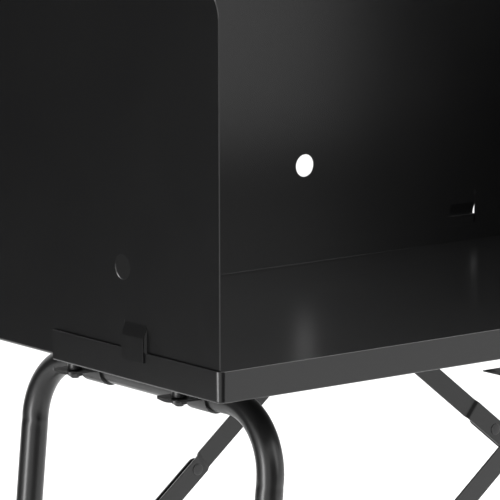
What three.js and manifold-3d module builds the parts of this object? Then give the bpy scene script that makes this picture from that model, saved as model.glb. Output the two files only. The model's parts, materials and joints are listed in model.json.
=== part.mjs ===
// Folding sheet-steel coal forge: a shallow hearth tray with a three-sided wind shield,
// standing on two folding U-shaped tube legs that are held open by two-link flat-bar braces.
// Millimetres, +Z up. The origin is on the floor, under the middle of the object.
// +X runs along the front from left to right, the open front faces -Y.
import * as THREE from 'three';
import { mergeVertices } from 'three/addons/utils/BufferGeometryUtils.js';
import Module from 'manifold-3d';

const wasm = await Module();
wasm.setup();

// ---- Driving dimensions -------------------------------------------------------------------
const TRAY_WIDTH = 892;           // across the hearth, lip to lip
const OVERALL_DEPTH = 485;        // front lip to the hooks behind the back wall
const RIM_HEIGHT = 660;           // underside of the tray above the floor
const LIP_RISE = 28;              // height of the upstanding lip, from the tray's underside
const SIDE_LIP_LENGTH = 248;      // how far the side lips reach back from the front
const TRAY_SHEET = 1.5;
const SIDE_NOTCH = 18;            // the floor is cut back this far at the sides, behind the lips
const NOTCH_FROM_BACK = 60;       // where the cut-back ends, in front of the back lip
const CORNER_RADIUS = 6.5;        // front corners of the tray, seen from above
const GAP = 0.3;                  // clearance between pieces that touch
const CUT = 1;                    // how far a cutting solid reaches past what it cuts
const WELD = 0.5;                 // how far joined shapes reach into one another

const WALL_SHEET = 1.2;
const WALL_LIFT = 2.1;            // the walls hang on the lips, this far above the floor
const WALL_FOOT = 30;             // flange that each side wall turns inward at its bottom
const SIDE_WALL_INSET = 2.6;      // side walls, in from the outside of the tray
const SIDE_WALL_FRONT = 3.9;      // front edge of the side walls, behind the tray's front
const WALL_TOP = 360;             // top of the walls above the tray's underside
const WALL_CORNER_RADIUS = 30;    // rounded top corner at the front of each side wall
const WALL_HOLE_RADIUS = 11.2;
const WALL_HOLE_HEIGHT = 99;      // hole centre above the tray's underside
const SIDE_HOLE_FROM_FRONT = 144;
const BACK_HOLE_FROM_LEFT = 469;
const BACK_FLANGE = 15;           // flanges that the back wall turns forward at its ends
const HOOK_WIDTH = 32;
const HOOK_TOP = 53;              // where a hook leaves its wall
const HOOK_BOTTOM = 18.5;
const HOOK_BEND_LOW = 34;         // the slope that carries a hook out over the lip
const HOOK_BEND_HIGH = 45;
const HOOK_SLIT = 0.4;              // slit on each side of a hook
const SIDE_HOOK_FROM_FRONT = 125;
const BACK_HOOK_FROM_SIDE = 221;

const TUBE_RADIUS = 12.5;
const TUBE_WALL = 1.5;
const BEND_RADIUS = 63;           // centre line of the two bends in each leg frame
const PIVOT_FROM_SIDE = 108.4;    // fold axis, in from the tray's side
const PIVOT_DROP = 31.8;          // fold axis, below the tray's underside
const SPLAY = THREE.MathUtils.degToRad(5.55);
const LEFT_LEG_SPACING = 359.6;   // between the centres of the two legs of the left frame
const RIGHT_LEG_SPACING = 285;    // narrower, so the right frame folds up inside the left one
const FOOT_SOLE = 8;              // rubber under the tube's end
const FOOT_RADIUS = 14;
const FOOT_LENGTH = 32;
const FOOT_CHAMFER = 3;
const FOOT_EDGE = 0.4;            // rubber left at the mouth of the cap

const BAR_WIDTH = 20;
const BAR_SHEET = 2;
const BAR_PITCH = 2.6;            // from one bar layer to the next, through the elbow
const BAR_CLEARANCE = 2.5;        // between the leg tube and the nearest bar
const ANCHOR_OFFSET = 5.2;        // brace anchors, either side of the middle
const LEG_PIN_DISTANCE = 293.5;   // brace pin on the leg, down from the fold axis
const UPPER_TAIL = 50;            // the upper bar runs on past the elbow pin, over the lower bar
const LEFT_JOGGLE = 10;           // offset bend in the upper bar, before the elbow pin
const RIGHT_JOGGLE = 38;
const JOGGLE_LENGTH = 6;
const JOGGLE_TO_LOWER_BAR = 1;    // from the joggle's end to the lower bar's end, at the least
const PIN_RADIUS = 3;
const HEAD_RADIUS = 5.5;
const HEAD_HEIGHT = 1.5;
const ELBOW_HEAD_HEIGHT = 0.6;

const LEFT_CLIP_SPACING = 160;    // between the two saddle clips of a frame
const RIGHT_CLIP_SPACING = 110;
const CLIP_WIDTH = 31;
const CLIP_SHEET = 2;
const CLIP_FLANGE = 32;
const CLIP_FLANGE_DROP = 30;      // top of the clip flanges, below the tray's underside
const STUD_RADIUS = 4;
const SLEEVE_RADIUS = 7;
const NUT_HEIGHT = 4;
const NUT_TO_END = 1.7;           // stud that shows below its nut

const BRACKET_LENGTH = 225;
const BRACKET_WIDTH = 31.6;
const BRACKET_DROP = 17;          // top of the bracket plates, below the tray's underside
const BRACKET_SHEET = 1.8;
const WEB_LENGTH = 48;
const WEB_FOOT = 12;              // how far a bracket web reaches below the brace pin
const BRACKET_STUD_SPACING = 150;

// ---- Values worked out from them ----------------------------------------------------------
const halfWidth = TRAY_WIDTH / 2;
const hookReach = GAP + WALL_SHEET;
const trayFront = -OVERALL_DEPTH / 2;
const trayBack = OVERALL_DEPTH / 2 - hookReach;
const floorTop = RIM_HEIGHT + TRAY_SHEET;
const wallBottom = floorTop + WALL_LIFT;
const lipTop = RIM_HEIGHT + LIP_RISE;
const wallTop = RIM_HEIGHT + WALL_TOP;
const backWallInset = TRAY_SHEET + GAP;
const sideWallOuter = halfWidth - SIDE_WALL_INSET;
const backWallOuter = trayBack - backWallInset;
const pivotX = halfWidth - PIVOT_FROM_SIDE;
const pivotZ = RIM_HEIGHT - PIVOT_DROP;
const tubeLength = (pivotZ - FOOT_SOLE) / Math.cos(SPLAY);
const tubeSteps = 7;              // rings round each bend of a leg tube
const wallCornerSegments = 10;
const clipSegments = 8;
const roundSides = 18;
const smallRoundSides = 12;       // sides of the studs, pins and their holes
const barEndSegments = 6;

// Distances between the brace pins, with the leg splayed and with it folded flat.
const anchorReach = pivotX - ANCHOR_OFFSET;
const legPinX = -LEG_PIN_DISTANCE * Math.sin(SPLAY);
const legPinZ = -LEG_PIN_DISTANCE * Math.cos(SPLAY);
const braceReach = Math.hypot(anchorReach - legPinX, legPinZ);
const foldedReach = anchorReach - LEG_PIN_DISTANCE;
const upperBarLength = (braceReach - foldedReach) / 2;
const lowerBarLength = (braceReach + foldedReach) / 2;
const braceAngle = Math.atan2(anchorReach - legPinX, -legPinZ);   // from straight down

// Bar layers, measured from a leg's centre line towards the front.
const lowerBarFront = TUBE_RADIUS + BAR_CLEARANCE + BAR_SHEET;
const upperBarFront = lowerBarFront + BAR_PITCH;
const elbowEndFront = upperBarFront + BAR_PITCH;

// ---- Finishes -----------------------------------------------------------------------------
const SHEET_PAINT = { color: 0x17181a, roughness: 0.35, metalness: 0.6 };
const TUBE_PAINT = { color: 0x1b1c1e, roughness: 0.3, metalness: 0.6 };
const BAR_PAINT = { color: 0x222325, roughness: 0.4, metalness: 0.6 };
const FASTENER_PAINT = { color: 0x2a2b2d, roughness: 0.4, metalness: 0.8 };
const RUBBER = { color: 0x121212, roughness: 0.8, metalness: 0 };

const group = new THREE.Group();

// ---- Helpers ------------------------------------------------------------------------------
function solidOf(geometry) {
  const bare = geometry.clone();
  bare.deleteAttribute('normal');
  bare.deleteAttribute('uv');
  const merged = mergeVertices(bare, 1e-4);
  const vertProperties = new Float32Array(merged.attributes.position.array);
  const triVerts = new Uint32Array(merged.index.array);
  return new wasm.Manifold(new wasm.Mesh({ numProp: 3, vertProperties, triVerts }));
}

function geometryOf(solid) {
  const mesh = solid.getMesh();
  const geometry = new THREE.BufferGeometry();
  geometry.setAttribute('position', new THREE.BufferAttribute(mesh.vertProperties, 3));
  geometry.setIndex(new THREE.BufferAttribute(mesh.triVerts, 1));
  geometry.computeVertexNormals();
  return geometry;
}

function addNode(name, solid, finish) {
  const mesh = new THREE.Mesh(geometryOf(solid), new THREE.MeshStandardMaterial(finish));
  mesh.name = name;
  group.add(mesh);
}

function ordered(a, b) {
  return [Math.min(a, b), Math.max(a, b)];
}

function box(x0, x1, y0, y1, z0, z1) {
  const geometry = new THREE.BoxGeometry(x1 - x0, y1 - y0, z1 - z0);
  geometry.translate((x0 + x1) / 2, (y0 + y1) / 2, (z0 + z1) / 2);
  return solidOf(geometry);
}

// A round bar between two heights on the Y axis, centred on (x, z).
function roundAlongY(x, z, y0, y1, radius, sides = roundSides) {
  const geometry = new THREE.CylinderGeometry(radius, radius, y1 - y0, sides);
  geometry.translate(x, (y0 + y1) / 2, z);
  return solidOf(geometry);
}

function pinHole(x, y0, y1) {
  return roundAlongY(x, 0, y0, y1, PIN_RADIUS + GAP, smallRoundSides);
}

function roundAlongX(y, z, x0, x1, radius) {
  const geometry = new THREE.CylinderGeometry(radius, radius, x1 - x0, roundSides);
  geometry.rotateZ(Math.PI / 2);
  geometry.translate((x0 + x1) / 2, y, z);
  return solidOf(geometry);
}

function roundAlongZ(x, y, z0, z1, radius) {
  const geometry = new THREE.CylinderGeometry(radius, radius, z1 - z0, smallRoundSides);
  geometry.rotateX(Math.PI / 2);
  geometry.translate(x, y, (z0 + z1) / 2);
  return solidOf(geometry);
}

function extruded(shape, depth, curveSegments = 6) {
  return new THREE.ExtrudeGeometry(shape, { depth, bevelEnabled: false, curveSegments });
}

// A shape drawn in X and Z, given its thickness from y0 to y1.
function plateAlongY(shape, y0, y1, curveSegments) {
  const geometry = extruded(shape, y1 - y0, curveSegments);
  geometry.rotateX(Math.PI / 2);
  geometry.translate(0, y1, 0);
  return solidOf(geometry);
}

// A shape drawn in Y and Z, given its thickness from x0 to x1.
function plateAlongX(shape, x0, x1, curveSegments) {
  const geometry = extruded(shape, x1 - x0, curveSegments);
  geometry.rotateZ(Math.PI / 2);
  geometry.rotateY(Math.PI / 2);
  geometry.translate(x0, 0, 0);
  return solidOf(geometry);
}

// ---- Hearth tray --------------------------------------------------------------------------
// Outline of the tray seen from above, drawn in by an inset: round corners at the front only.
function trayOutline(inset) {
  const side = halfWidth - inset;
  const front = trayFront + inset;
  const back = trayBack - inset;
  const radius = CORNER_RADIUS - inset;
  const shape = new THREE.Shape();
  shape.moveTo(-side + radius, front);
  shape.lineTo(side - radius, front);
  shape.absarc(side - radius, front + radius, radius, -Math.PI / 2, 0, false);
  shape.lineTo(side, back);
  shape.lineTo(-side, back);
  shape.lineTo(-side, front + radius);
  shape.absarc(-side + radius, front + radius, radius, Math.PI, Math.PI * 1.5, false);
  return shape;
}

function trayPrism(inset, z0, z1) {
  const geometry = extruded(trayOutline(inset), z1 - z0);
  geometry.translate(0, 0, z0);
  return solidOf(geometry);
}

function hearthTray() {
  const sideLipEnd = trayFront + SIDE_LIP_LENGTH;
  const backLipStart = trayBack - TRAY_SHEET;
  const notchEnd = trayBack - NOTCH_FROM_BACK;
  const hollow = trayPrism(TRAY_SHEET, floorTop, lipTop + CUT);
  let tray = trayPrism(0, RIM_HEIGHT, lipTop).subtract(hollow);
  for (const side of [-1, 1]) {
    const outside = side * (halfWidth + CUT);
    const [lip0, lip1] = ordered(side * (halfWidth - TRAY_SHEET - CUT), outside);
    const [notch0, notch1] = ordered(side * (halfWidth - SIDE_NOTCH), outside);
    tray = tray.subtract(box(lip0, lip1, sideLipEnd, backLipStart, floorTop, lipTop + CUT));
    tray = tray.subtract(box(notch0, notch1, sideLipEnd, notchEnd, RIM_HEIGHT - CUT, floorTop + CUT));
  }
  return tray;
}

// ---- Walls --------------------------------------------------------------------------------
// A hook is a tongue cut from its wall and joggled out and down over the tray's lip.
// The profile is drawn across the lip: u is the distance out from the wall's inner face.
function hookProfile(wallInset) {
  const out = WALL_SHEET + wallInset + GAP;
  const outerBend = WALL_SHEET / 2;
  const shape = new THREE.Shape();
  shape.moveTo(0, HOOK_TOP);
  shape.lineTo(0, HOOK_BEND_HIGH);
  shape.lineTo(out, HOOK_BEND_LOW);
  shape.lineTo(out, HOOK_BOTTOM);
  shape.lineTo(out + WALL_SHEET, HOOK_BOTTOM);
  shape.lineTo(out + WALL_SHEET, HOOK_BEND_LOW + outerBend);
  shape.lineTo(WALL_SHEET, HOOK_BEND_HIGH + outerBend);
  shape.lineTo(WALL_SHEET, HOOK_TOP);
  return shape;
}

function hookStrip(wallInset) {
  return extruded(hookProfile(wallInset), HOOK_WIDTH).rotateX(Math.PI / 2);
}

// The outline of a side wall, drawn in Y and Z.
function sideWallOutline(y0, y1) {
  const shape = new THREE.Shape();
  const cornerY = y0 + WALL_CORNER_RADIUS;
  shape.moveTo(y0, wallBottom);
  shape.lineTo(y1, wallBottom);
  shape.lineTo(y1, wallTop);
  shape.lineTo(cornerY, wallTop);
  shape.absarc(cornerY, wallTop - WALL_CORNER_RADIUS, WALL_CORNER_RADIUS, Math.PI / 2, Math.PI, false);
  return shape;
}

// Both side walls are made as the right one, and the left one is then mirrored.
function sideWall(side) {
  const y0 = trayFront + SIDE_WALL_FRONT;
  const y1 = backWallOuter - WALL_SHEET - GAP;
  const footEnd = y1 - BACK_FLANGE - GAP;
  const hookY = trayFront + SIDE_HOOK_FROM_FRONT;
  const holeY = trayFront + SIDE_HOLE_FROM_FRONT;
  const holeZ = RIM_HEIGHT + WALL_HOLE_HEIGHT;
  const inner = sideWallOuter - WALL_SHEET;
  const cut0 = inner - CUT;
  const cut1 = sideWallOuter + CUT;
  const halfWindow = HOOK_WIDTH / 2 + HOOK_SLIT;
  const hookTop = RIM_HEIGHT + HOOK_TOP;
  const windowLow = RIM_HEIGHT + HOOK_BOTTOM - HOOK_SLIT;
  let wall = plateAlongX(sideWallOutline(y0, y1), inner, sideWallOuter, wallCornerSegments);
  wall = wall.add(box(inner - WALL_FOOT, inner + WELD, y0, footEnd, wallBottom, wallBottom + WALL_SHEET));
  wall = wall.subtract(roundAlongX(holeY, holeZ, cut0, cut1, WALL_HOLE_RADIUS));
  wall = wall.subtract(box(cut0, cut1, hookY - halfWindow, hookY + halfWindow, windowLow, hookTop));
  const hook = hookStrip(SIDE_WALL_INSET).translate(inner, HOOK_WIDTH / 2 + hookY, RIM_HEIGHT);
  wall = wall.add(solidOf(hook));
  return side > 0 ? wall : wall.mirror([1, 0, 0]);
}

function backWall() {
  const end = sideWallOuter - WALL_SHEET - GAP;
  const inner = backWallOuter - WALL_SHEET;
  const cut0 = inner - CUT;
  const cut1 = backWallOuter + CUT;
  const halfWindow = HOOK_WIDTH / 2 + HOOK_SLIT;
  const hookTop = RIM_HEIGHT + HOOK_TOP;
  const windowLow = RIM_HEIGHT + HOOK_BOTTOM - HOOK_SLIT;
  const holeX = BACK_HOLE_FROM_LEFT - halfWidth;
  const holeZ = RIM_HEIGHT + WALL_HOLE_HEIGHT;
  let wall = box(-end, end, inner, backWallOuter, wallBottom, wallTop);
  wall = wall.subtract(roundAlongY(holeX, holeZ, cut0, cut1, WALL_HOLE_RADIUS));
  for (const side of [-1, 1]) {
    const hookX = side * (halfWidth - BACK_HOOK_FROM_SIDE);
    const hook = hookStrip(backWallInset).rotateZ(Math.PI / 2);
    hook.translate(hookX - HOOK_WIDTH / 2, inner, RIM_HEIGHT);
    wall = wall.subtract(box(hookX - halfWindow, hookX + halfWindow, cut0, cut1, windowLow, hookTop));
    wall = wall.add(solidOf(hook));
    const [flange0, flange1] = ordered(side * end, side * (end - WALL_SHEET));
    wall = wall.add(box(flange0, flange1, inner - BACK_FLANGE, backWallOuter, wallBottom, wallTop));
  }
  return wall;
}

// ---- Leg frames ---------------------------------------------------------------------------
function legCentreY(spacing, row) {
  return (row * spacing) / 2;
}

// Ring centres along a U frame's centre line, drawn upright in the YZ plane, top tube at z = 0.
function legRings(spacing) {
  const half = spacing / 2;
  const centreY = half - BEND_RADIUS;
  const bend = [];
  for (let i = 0; i <= tubeSteps; i += 1) {
    const angle = Math.PI - (i / tubeSteps) * (Math.PI / 2);
    const y = -centreY + BEND_RADIUS * Math.cos(angle);
    const z = -BEND_RADIUS + BEND_RADIUS * Math.sin(angle);
    bend.push(new THREE.Vector3(0, y, z));
  }
  const mirrored = bend.map((point) => new THREE.Vector3(0, -point.y, point.z)).reverse();
  const foot = (y) => new THREE.Vector3(0, y, -tubeLength);
  return [foot(-half), ...bend, ...mirrored, foot(half)];
}

// A curve through given ring centres, which puts an extrusion's rings exactly on them.
class RingCurve extends THREE.Curve {
  constructor(points) {
    super();
    this.points = points;
    this.steps = points.length - 1;
  }

  getPoint(t) {
    return this.points[Math.round(t * this.steps)].clone();
  }

  getPointAt(t) {
    return this.getPoint(t);
  }

  getTangentAt(t) {
    const index = Math.round(t * this.steps);
    const here = this.points[index];
    const before = this.points[Math.max(index - 1, 0)];
    const after = this.points[Math.min(index + 1, this.steps)];
    const arriving = here.clone().sub(before).normalize();
    const leaving = after.clone().sub(here).normalize();
    return arriving.add(leaving).normalize();
  }
}

function circleShape(radius, sides) {
  const shape = new THREE.Shape();
  for (let i = 0; i < sides; i += 1) {
    const angle = (2 * Math.PI * i) / sides;
    shape[i ? 'lineTo' : 'moveTo'](radius * Math.cos(angle), radius * Math.sin(angle));
  }
  return shape;
}

function sweptTube(spacing, radius) {
  const curve = new RingCurve(legRings(spacing));
  const section = circleShape(radius, roundSides);
  const options = { steps: curve.steps, extrudePath: curve, bevelEnabled: false };
  return solidOf(new THREE.ExtrudeGeometry(section, options));
}

// Stand a frame up: tilt it outward by the splay, about the fold axis, on its own side.
function placedOnPivot(solid, side) {
  const tilted = solid.rotate([0, -side * THREE.MathUtils.radToDeg(SPLAY), 0]);
  return tilted.translate([side * pivotX, 0, pivotZ]);
}

function legFrame(side, spacing) {
  let tube = sweptTube(spacing, TUBE_RADIUS).subtract(sweptTube(spacing, TUBE_RADIUS - TUBE_WALL));
  const reach = TUBE_RADIUS + CUT;
  for (const row of [-1, 1]) {
    const legY = legCentreY(spacing, row);
    tube = tube.subtract(pinHole(0, legY - reach, legY + reach).translate([0, 0, -LEG_PIN_DISTANCE]));
  }
  return placedOnPivot(tube, side);
}

// A rubber cap over the end of a leg, trimmed flat where it stands on the floor.
function footCap(side, spacing, row) {
  const bottom = -tubeLength - FOOT_SOLE * 2;
  const top = -tubeLength + FOOT_LENGTH;
  const inner = TUBE_RADIUS + GAP;
  const profile = [
    new THREE.Vector2(0, bottom),
    new THREE.Vector2(FOOT_RADIUS, bottom),
    new THREE.Vector2(FOOT_RADIUS, top - FOOT_CHAMFER),
    new THREE.Vector2(inner + FOOT_EDGE, top),
    new THREE.Vector2(inner, top),
    new THREE.Vector2(inner, -tubeLength - GAP),
    new THREE.Vector2(0, -tubeLength - GAP),
  ];
  const geometry = new THREE.LatheGeometry(profile, roundSides);
  geometry.rotateX(Math.PI / 2);
  geometry.translate(0, legCentreY(spacing, row), 0);
  const cap = placedOnPivot(solidOf(geometry), side);
  const footX = side * (pivotX + tubeLength * Math.sin(SPLAY));
  const footY = legCentreY(spacing, row);
  const reach = FOOT_LENGTH * 2;
  const ground = box(footX - reach, footX + reach, footY - reach, footY + reach, -reach, 0);
  return cap.subtract(ground);
}

// ---- Saddle clips that carry the top tubes ------------------------------------------------
function clipProfile() {
  const inner = TUBE_RADIUS + GAP;
  const outer = inner + CLIP_SHEET;
  const flangeTop = PIVOT_DROP - CLIP_FLANGE_DROP;
  const flangeLow = flangeTop - CLIP_SHEET;
  const end = outer + CLIP_FLANGE;
  const shape = new THREE.Shape();
  shape.moveTo(-end, flangeLow);
  shape.lineTo(-outer, flangeLow);
  shape.absarc(0, 0, outer, Math.PI, 2 * Math.PI, false);
  shape.lineTo(outer, flangeLow);
  shape.lineTo(end, flangeLow);
  shape.lineTo(end, flangeTop);
  shape.lineTo(inner, flangeTop);
  shape.absarc(0, 0, inner, 0, -Math.PI, true);
  shape.lineTo(-inner, flangeTop);
  shape.lineTo(-end, flangeTop);
  return shape;
}

function clipStudPlaces(side, row, clipSpacing) {
  const reach = TUBE_RADIUS + GAP + CLIP_SHEET + CLIP_FLANGE / 2;
  const y = (row * clipSpacing) / 2;
  return [[side * (pivotX + reach), y], [side * (pivotX - reach), y]];
}

function saddleClip(side, row, clipSpacing) {
  const y = (row * clipSpacing) / 2;
  let clip = plateAlongY(clipProfile(), y - CLIP_WIDTH / 2, y + CLIP_WIDTH / 2, clipSegments);
  clip = clip.translate([side * pivotX, 0, pivotZ]);
  const flangeTop = RIM_HEIGHT - CLIP_FLANGE_DROP;
  const flangeLow = flangeTop - CLIP_SHEET;
  for (const [x, studY] of clipStudPlaces(side, row, clipSpacing)) {
    clip = clip.subtract(roundAlongZ(x, studY, flangeLow - CUT, flangeTop + CUT, STUD_RADIUS + GAP));
  }
  return clip;
}

// A stud under the tray with a sleeve above its plate, which keeps the hot tray away from it.
// Its foot passes through the plate and ends flush with the underside.
function standOffStud(x, y, plateTopDrop, plateSheet) {
  const plateTop = RIM_HEIGHT - plateTopDrop;
  const sleeve = roundAlongZ(x, y, plateTop + GAP, RIM_HEIGHT - GAP, SLEEVE_RADIUS);
  const foot = roundAlongZ(x, y, plateTop - plateSheet, plateTop + GAP + WELD, STUD_RADIUS);
  return sleeve.add(foot);
}

// The same stud with a longer foot and a nut under the plate.
function nuttedStud(x, y, plateTopDrop, plateSheet) {
  const plateLow = RIM_HEIGHT - plateTopDrop - plateSheet;
  const nutLow = plateLow - GAP - NUT_HEIGHT;
  const nut = roundAlongZ(x, y, nutLow, plateLow - GAP, SLEEVE_RADIUS);
  const end = roundAlongZ(x, y, nutLow - NUT_TO_END, plateLow + WELD, STUD_RADIUS);
  return standOffStud(x, y, plateTopDrop, plateSheet).add(end).add(nut);
}

// ---- Brace brackets -----------------------------------------------------------------------
function bracketPlate(side, row, spacing, flangeDirection) {
  const webBack = legCentreY(spacing, row) - upperBarFront - (BAR_PITCH - BAR_SHEET);
  const webFront = webBack - BAR_SHEET;
  const anchorX = side * ANCHOR_OFFSET;
  const plateEdges = flangeDirection < 0
    ? [webBack - BRACKET_WIDTH, webBack]
    : [webFront, webFront + BRACKET_WIDTH];
  const top = RIM_HEIGHT - BRACKET_DROP;
  return { webBack, webFront, anchorX, plateEdges, top };
}

function bracketStudPlaces(side, row, spacing, flangeDirection) {
  const { plateEdges, anchorX } = bracketPlate(side, row, spacing, flangeDirection);
  const y = (plateEdges[0] + plateEdges[1]) / 2;
  const half = BRACKET_STUD_SPACING / 2;
  return [[anchorX - half, y], [anchorX + half, y]];
}

function braceBracket(side, row, spacing, flangeDirection) {
  const plan = bracketPlate(side, row, spacing, flangeDirection);
  const low = plan.top - BRACKET_SHEET;
  const x0 = plan.anchorX - BRACKET_LENGTH / 2;
  const [edge0, edge1] = plan.plateEdges;
  const webTop = low - pivotZ + WELD;
  const web = new THREE.Shape();
  web.moveTo(-WEB_LENGTH / 2, webTop);
  web.lineTo(-WEB_LENGTH / 4, -WEB_FOOT);
  web.lineTo(WEB_LENGTH / 4, -WEB_FOOT);
  web.lineTo(WEB_LENGTH / 2, webTop);
  const pierced = plateAlongY(web, plan.webFront, plan.webBack)
    .subtract(pinHole(0, plan.webFront - CUT, plan.webBack + CUT));
  let bracket = box(x0, x0 + BRACKET_LENGTH, edge0, edge1, low, plan.top);
  bracket = bracket.add(pierced.translate([plan.anchorX, 0, pivotZ]));
  for (const [x, y] of bracketStudPlaces(side, row, spacing, flangeDirection)) {
    bracket = bracket.subtract(roundAlongZ(x, y, low - CUT, plan.top + CUT, STUD_RADIUS + GAP));
  }
  return bracket;
}

// ---- Brace bars ---------------------------------------------------------------------------
// A bar is drawn flat with its first pin at the origin and its length along +X: the outline
// gives the rounded ends, the edge profile gives the joggle, and the bar is where they meet.
function barOutline(length) {
  const radius = BAR_WIDTH / 2;
  const shape = new THREE.Shape();
  shape.moveTo(0, -radius);
  shape.lineTo(length, -radius);
  shape.absarc(length, 0, radius, -Math.PI / 2, Math.PI / 2, false);
  shape.lineTo(0, radius);
  shape.absarc(0, 0, radius, Math.PI / 2, Math.PI * 1.5, false);
  return shape;
}

// Turn a flat bar about its first pin to point at an angle from straight down, and place it.
function barPlaced(solid, side, angle, pin) {
  const turn = 90 - THREE.MathUtils.radToDeg(angle);
  const turned = solid.rotate([0, turn, 0]);
  const faced = side > 0 ? turned : turned.mirror([1, 0, 0]);
  return faced.translate(pin);
}

function upperBar(side, row, spacing, joggle) {
  const legY = legCentreY(spacing, row);
  const radius = BAR_WIDTH / 2;
  const length = upperBarLength + UPPER_TAIL;
  const bendStart = upperBarLength - joggle - JOGGLE_LENGTH / 2;
  const bendEnd = bendStart + JOGGLE_LENGTH;
  const mainFront = -upperBarFront;
  const endFront = -elbowEndFront;
  const cut0 = endFront - CUT;
  const cut1 = mainFront + BAR_SHEET + CUT;
  const edge = new THREE.Shape();
  edge.moveTo(-radius, mainFront);
  edge.lineTo(bendStart, mainFront);
  edge.lineTo(bendEnd, endFront);
  edge.lineTo(length + radius, endFront);
  edge.lineTo(length + radius, endFront + BAR_SHEET);
  edge.lineTo(bendEnd, endFront + BAR_SHEET);
  edge.lineTo(bendStart, mainFront + BAR_SHEET);
  edge.lineTo(-radius, mainFront + BAR_SHEET);
  const strip = extruded(edge, BAR_WIDTH);
  strip.translate(0, 0, -BAR_WIDTH / 2);
  const outline = plateAlongY(barOutline(length), cut0, cut1, barEndSegments);
  let bar = solidOf(strip).intersect(outline);
  bar = bar.subtract(pinHole(0, cut0, cut1)).subtract(pinHole(upperBarLength, cut0, cut1));
  return barPlaced(bar, side, braceAngle, [side * ANCHOR_OFFSET, legY, pivotZ]);
}

// The lower bar has the elbow pin's clenched end formed on its back. Its own end reaches past
// the pin by the tail, to the upper bar's joggle.
function lowerBar(side, row, spacing, tail) {
  const legY = legCentreY(spacing, row);
  const front = -lowerBarFront;
  const back = front + BAR_SHEET;
  const boss = roundAlongY(lowerBarLength, 0, back - WELD, back + HEAD_HEIGHT, HEAD_RADIUS, smallRoundSides);
  const plain = plateAlongY(barOutline(lowerBarLength + tail), front, back, barEndSegments);
  const bar = plain.subtract(pinHole(0, front - CUT, back + CUT)).add(boss);
  const pinX = side * (pivotX - legPinX);
  return barPlaced(bar, side, braceAngle - Math.PI, [pinX, legY, pivotZ + legPinZ]);
}

// A pin through the bars: a head at its front end and a plain shank to its back end.
function pin(x, z, headFront, shankBack, headHeight = HEAD_HEIGHT) {
  const headBack = headFront + headHeight;
  const head = roundAlongY(x, z, headFront, headBack, HEAD_RADIUS, smallRoundSides);
  return head.add(roundAlongY(x, z, headBack - headHeight / 2, shankBack, PIN_RADIUS, smallRoundSides));
}

// ---- Assembly -----------------------------------------------------------------------------
const frames = [
  {
    name: 'left',
    side: -1,
    spacing: LEFT_LEG_SPACING,
    clipSpacing: LEFT_CLIP_SPACING,
    flanges: { front: -1, rear: 1 },
    joggle: LEFT_JOGGLE,
  },
  {
    name: 'right',
    side: 1,
    spacing: RIGHT_LEG_SPACING,
    clipSpacing: RIGHT_CLIP_SPACING,
    flanges: { front: 1, rear: -1 },
    joggle: RIGHT_JOGGLE,
  },
];
const rows = [['front', -1], ['rear', 1]];

function addStuds(frame, rowName, row) {
  const { name, side, spacing, clipSpacing, flanges } = frame;
  const prefix = `${name}_${rowName}`;
  clipStudPlaces(side, row, clipSpacing).forEach(([x, y], i) => {
    const end = ['outer', 'inner'][i];
    addNode(`${prefix}_clip_${end}_stud`, nuttedStud(x, y, CLIP_FLANGE_DROP, CLIP_SHEET), FASTENER_PAINT);
  });
  bracketStudPlaces(side, row, spacing, flanges[rowName]).forEach(([x, y], i) => {
    const end = ['left', 'right'][i];
    addNode(`${prefix}_bracket_${end}_stud`, standOffStud(x, y, BRACKET_DROP, BRACKET_SHEET), FASTENER_PAINT);
  });
}

function addBrace(frame, rowName, row) {
  const { name, side, spacing, flanges, joggle } = frame;
  const prefix = `${name}_${rowName}`;
  const legY = legCentreY(spacing, row);
  const lowerBarReach = joggle - JOGGLE_LENGTH / 2 - JOGGLE_TO_LOWER_BAR;
  const lowerTail = Math.max(lowerBarReach - BAR_WIDTH / 2, 0);
  const anchorX = side * ANCHOR_OFFSET;
  const elbowX = anchorX + side * upperBarLength * Math.sin(braceAngle);
  const elbowZ = pivotZ - upperBarLength * Math.cos(braceAngle);
  const legX = side * (pivotX - legPinX);
  const legZ = pivotZ + legPinZ;
  const headReach = GAP + HEAD_HEIGHT;
  const webFront = legY - upperBarFront - BAR_PITCH;
  const elbowFront = legY - elbowEndFront;
  const lowerFront = legY - lowerBarFront;
  const bracketPin = pin(anchorX, pivotZ, webFront - headReach, legY - upperBarFront + BAR_SHEET);
  const elbowHead = elbowFront - GAP - ELBOW_HEAD_HEIGHT;
  const elbowPin = pin(elbowX, elbowZ, elbowHead, lowerFront - GAP, ELBOW_HEAD_HEIGHT);
  const legPin = pin(legX, legZ, lowerFront - headReach, legY + TUBE_RADIUS + HEAD_HEIGHT);
  addNode(`${prefix}_bracket`, braceBracket(side, row, spacing, flanges[rowName]), BAR_PAINT);
  addNode(`${prefix}_upper_bar`, upperBar(side, row, spacing, joggle), BAR_PAINT);
  addNode(`${prefix}_lower_bar`, lowerBar(side, row, spacing, lowerTail), BAR_PAINT);
  addNode(`${prefix}_bracket_pin`, bracketPin, FASTENER_PAINT);
  addNode(`${prefix}_elbow_pin`, elbowPin, FASTENER_PAINT);
  addNode(`${prefix}_leg_pin`, legPin, FASTENER_PAINT);
}

addNode('hearth_tray', hearthTray(), SHEET_PAINT);
addNode('left_wall', sideWall(-1), SHEET_PAINT);
addNode('right_wall', sideWall(1), SHEET_PAINT);
addNode('back_wall', backWall(), SHEET_PAINT);

for (const frame of frames) {
  const { name, side, spacing, clipSpacing } = frame;
  addNode(`${name}_leg_frame`, legFrame(side, spacing), TUBE_PAINT);
  for (const [rowName, row] of rows) {
    addNode(`${name}_${rowName}_foot`, footCap(side, spacing, row), RUBBER);
    addNode(`${name}_${rowName}_saddle_clip`, saddleClip(side, row, clipSpacing), BAR_PAINT);
    addStuds(frame, rowName, row);
    addBrace(frame, rowName, row);
  }
}

export default group;
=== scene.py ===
import json
import math

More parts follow.
